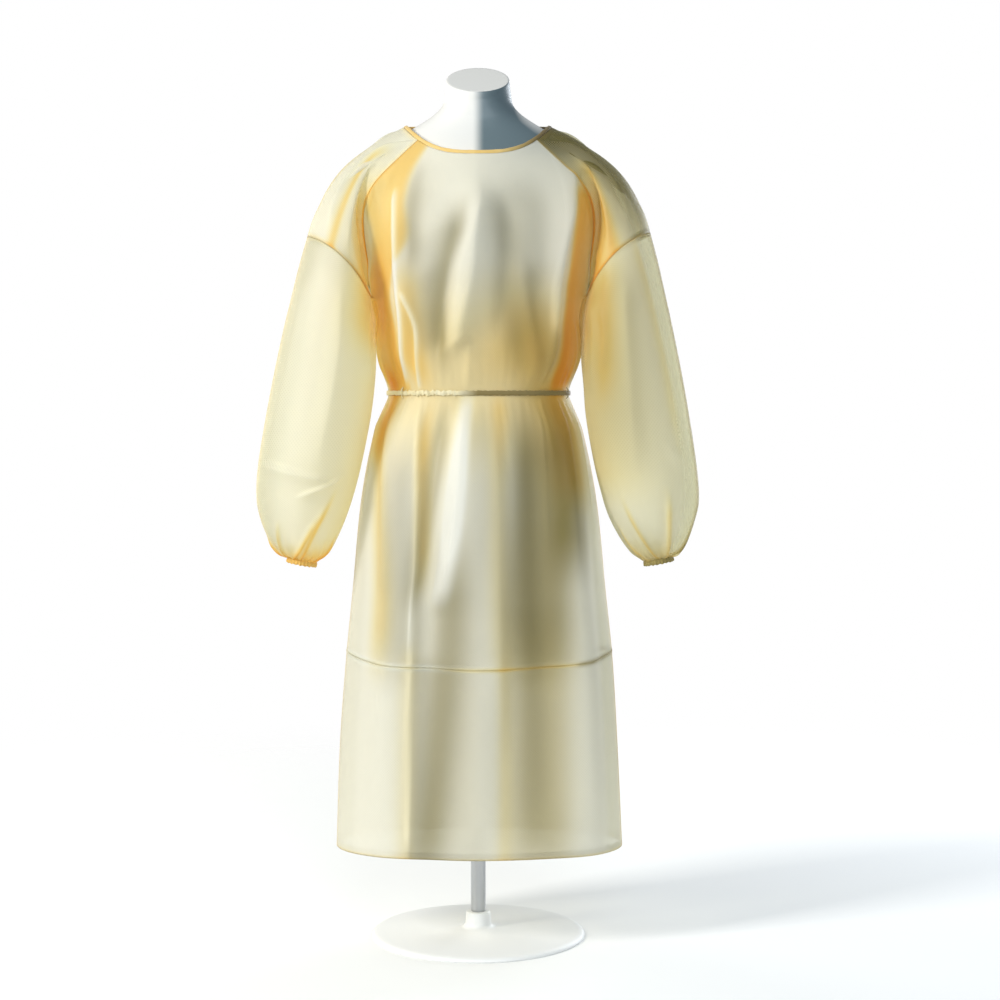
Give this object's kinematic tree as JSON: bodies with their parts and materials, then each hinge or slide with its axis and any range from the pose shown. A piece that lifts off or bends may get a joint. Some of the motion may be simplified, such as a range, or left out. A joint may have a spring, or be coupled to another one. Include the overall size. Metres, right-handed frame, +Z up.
{
  "type": "isolation gown on limbless dress form stand",
  "caption": "Pale yellow nonwoven isolation gown with raglan tops, puffed sleeves, elastic cuffs, bound neck and waist tie, worn hollow on a smooth limbless dress form stand.",
  "frame": {"origin": "centre of the stand's round base, on the floor", "axes": "+Z up; the gown's front faces -Y and its open back +Y; +X is to the right seen from the front, and node names say left and right as seen from the front"},
  "size_m": [0.7348, 0.36, 1.4631],
  "materials": {
    "gown_cloth": "thin translucent nonwoven with a fine embossed diagonal grid",
    "neck_tape": "folded nonwoven tape, matt",
    "cuff_elastic": "gathered elastic casing, matt",
    "belt_cloth": "folded nonwoven tie, matt",
    "form_shell": "smooth satin white shell",
    "stand_metal": "brushed",
    "base_paint": "satin white powder coat"
  },
  "bodies": {
    "root": {"front_bodice": "gown_cloth", "front_skirt": "gown_cloth", "front_band": "gown_cloth", "back_bodice_left": "gown_cloth", "back_bodice_right": "gown_cloth", "back_skirt_left": "gown_cloth", "back_skirt_right": "gown_cloth", "back_band_left": "gown_cloth", "back_band_right": "gown_cloth", "shoulder_left": "gown_cloth", "shoulder_right": "gown_cloth", "sleeve_left": "gown_cloth", "sleeve_right": "gown_cloth", "cuff_left": "cuff_elastic", "cuff_right": "cuff_elastic", "neck_binding": "neck_tape", "neck_knot": "neck_tape", "neck_tie_under": "neck_tape", "neck_tie_upper": "neck_tape", "waist_belt": "belt_cloth", "belt_knot": "belt_cloth", "belt_end_left": "belt_cloth", "belt_end_right": "belt_cloth", "belt_loop_left": "belt_cloth", "belt_loop_right": "belt_cloth", "form_torso": "form_shell", "form_collar": "stand_metal", "form_pole": "stand_metal", "form_base": "base_paint"}
  },
  "joints": []
}
